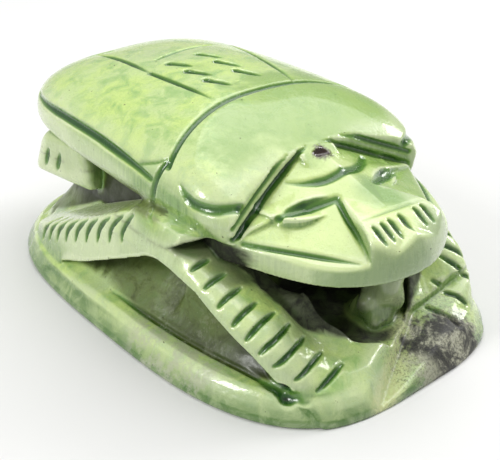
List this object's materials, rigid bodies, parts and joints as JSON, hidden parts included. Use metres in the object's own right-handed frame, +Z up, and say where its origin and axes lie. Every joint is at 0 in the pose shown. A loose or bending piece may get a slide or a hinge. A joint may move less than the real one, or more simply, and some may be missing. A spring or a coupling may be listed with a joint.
{
  "type": "scarab seal",
  "caption": "Carved glazed-stone scarab seal: domed beetle with incised wing cases, head and legs on an oval base.",
  "frame": {"origin": "centre of the oval underside, which is flat on Z = 0", "axes": "+Z up, +Y towards the rear of the beetle, head towards -Y, +X to the beetle's left as it faces -Y"},
  "size_m": [0.0496, 0.07, 0.0296],
  "materials": {
    "glazed_soapstone": "glossy pale green glaze, darker in the cuts"
  },
  "bodies": {
    "root": {"scarab": "glazed_soapstone"}
  },
  "joints": []
}
